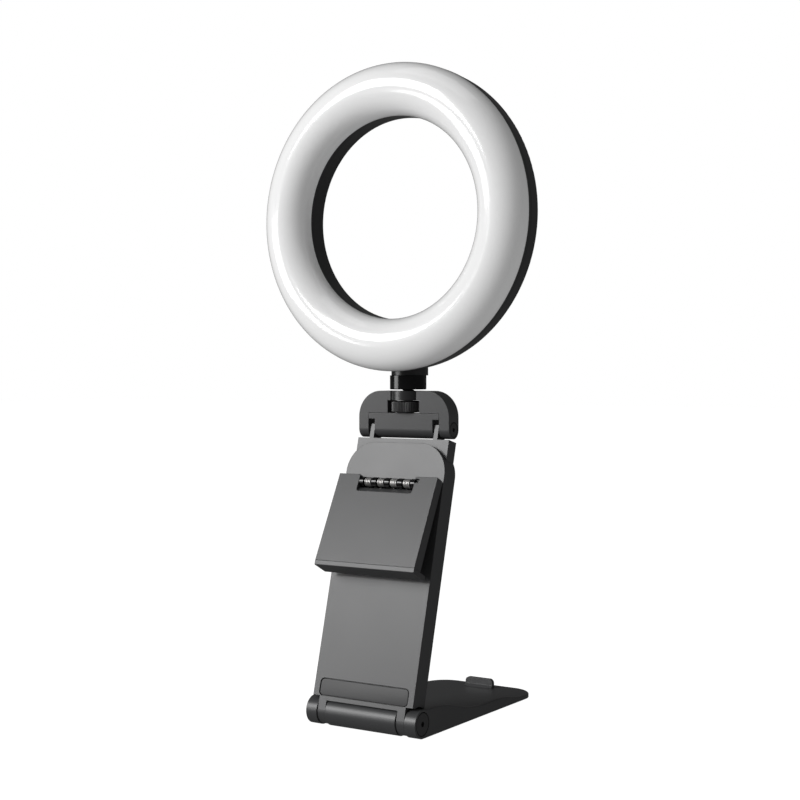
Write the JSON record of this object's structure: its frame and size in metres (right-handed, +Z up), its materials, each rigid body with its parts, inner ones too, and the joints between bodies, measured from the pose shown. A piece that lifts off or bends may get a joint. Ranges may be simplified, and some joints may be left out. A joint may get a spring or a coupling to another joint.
{
  "type": "ring light",
  "caption": "Folding desk ring light: LED ring with white diffuser on a tilting, swivelling bracket, telescoping arm with a sprung screen clip, hinged tray base.",
  "frame": {"origin": "middle of the footprint, on the surface the feet stand on", "axes": "+Z up, the lit side of the ring faces -Y, +X to the right when looking at the lit side"},
  "size_m": [0.1524, 0.124, 0.3271],
  "materials": {
    "charcoal": "satin charcoal, finely textured",
    "rubber": "matt",
    "black_plastic": "fine satin",
    "diffuser": "opal white, glossy",
    "steel": "nickel plated",
    "black_steel": "black oxide, oiled",
    "brass": "turned",
    "nylon": "natural",
    "board": "white solder resist",
    "led_cool": "phosphor, cool white",
    "led_warm": "phosphor, warm white"
  },
  "bodies": {
    "base": {"base_tray": "charcoal", "rubber_feet": "rubber", "hinge_axle": "steel", "axle_bolt_right": "black_steel", "axle_bolt_left": "black_steel", "hinge_friction_washers": "nylon"},
    "lower_arm": {"arm_sleeve": "charcoal", "lug_bushes": "nylon", "arm_rubber_pad": "rubber", "slide_stop_pin": "steel", "clip_hinge_block": "black_plastic", "clip_hinge_screws": "steel", "clip_springs": "steel"},
    "clip": {"clip_flap": "charcoal", "clip_lip": "charcoal", "clip_rubber_pad": "rubber", "clip_hinge_pin": "steel"},
    "slide": {"slide_plate": "charcoal", "slide_friction_shoes": "nylon", "slide_leaf_springs": "steel"},
    "bracket": {"tilt_bracket": "charcoal", "stud_collar": "black_plastic", "tilt_pivot_block": "charcoal", "tilt_pivot_screw": "black_steel", "tilt_pivot_nut": "black_steel", "tilt_washers": "nylon"},
    "wheel": {"thumb_wheel": "black_plastic", "camera_stud": "black_steel"},
    "light_head": {"neck_tube": "black_plastic", "neck_thread_insert": "brass", "neck_screw": "black_steel", "ring_housing": "black_plastic", "ring_diffuser": "diffuser", "led_board": "board", "cool_leds": "led_cool", "warm_leds": "led_warm", "housing_screws": "black_steel", "control_board": "board", "button_switches": "black_plastic", "board_link": "board", "usb_inlet_shell": "steel", "usb_inlet_tongue": "black_plastic"},
    "power_button": {"power_button": "black_plastic"},
    "colour_button": {"colour_button": "black_plastic"},
    "brighter_button": {"brighter_button": "black_plastic"},
    "dimmer_button": {"dimmer_button": "black_plastic"}
  },
  "joints": [
    {"name": "base_hinge", "type": "hinge", "parent": "base", "child": "lower_arm", "pos_m": [0, -0.05502, 0.0072], "axis": [1, 0, 0], "range_deg": [-72.8, 45]},
    {"name": "telescope", "type": "slide", "parent": "lower_arm", "child": "slide", "axis": [0, 0.2546, 0.967], "range_m": [0, 0.07]},
    {"name": "clip_hinge", "type": "hinge", "parent": "lower_arm", "child": "clip", "pos_m": [0, -0.03587, 0.11943], "axis": [-1, 0, 0], "range_deg": [0, 60], "stiffness_Nm_per_rad": 0.08, "springref_deg": -45.84},
    {"name": "tilt_hinge", "type": "hinge", "parent": "slide", "child": "bracket", "pos_m": [0, -0.01818, 0.14568], "axis": [1, 0, 0], "range_deg": [-102, 73]},
    {"name": "wheel_spin", "type": "hinge", "parent": "bracket", "child": "wheel", "pos_m": [0, -0.01818, 0.15668], "axis": [0, 0, 1], "continuous": true},
    {"name": "ring_swivel", "type": "hinge", "parent": "bracket", "child": "light_head", "pos_m": [0, -0.01818, 0.17068], "axis": [0, 0, 1], "range_deg": [-170, 170]},
    {"name": "power_press", "type": "slide", "parent": "light_head", "child": "power_button", "axis": [0, -1, 0], "range_m": [0, 0.0004], "stiffness_N_per_m": 900, "springref_m": -0.0011},
    {"name": "colour_press", "type": "slide", "parent": "light_head", "child": "colour_button", "axis": [0, -1, 0], "range_m": [0, 0.0004], "stiffness_N_per_m": 900, "springref_m": -0.0011},
    {"name": "brighter_press", "type": "slide", "parent": "light_head", "child": "brighter_button", "axis": [0, -1, 0], "range_m": [0, 0.0004], "stiffness_N_per_m": 900, "springref_m": -0.0011},
    {"name": "dimmer_press", "type": "slide", "parent": "light_head", "child": "dimmer_button", "axis": [0, -1, 0], "range_m": [0, 0.0004], "stiffness_N_per_m": 900, "springref_m": -0.0011}
  ]
}
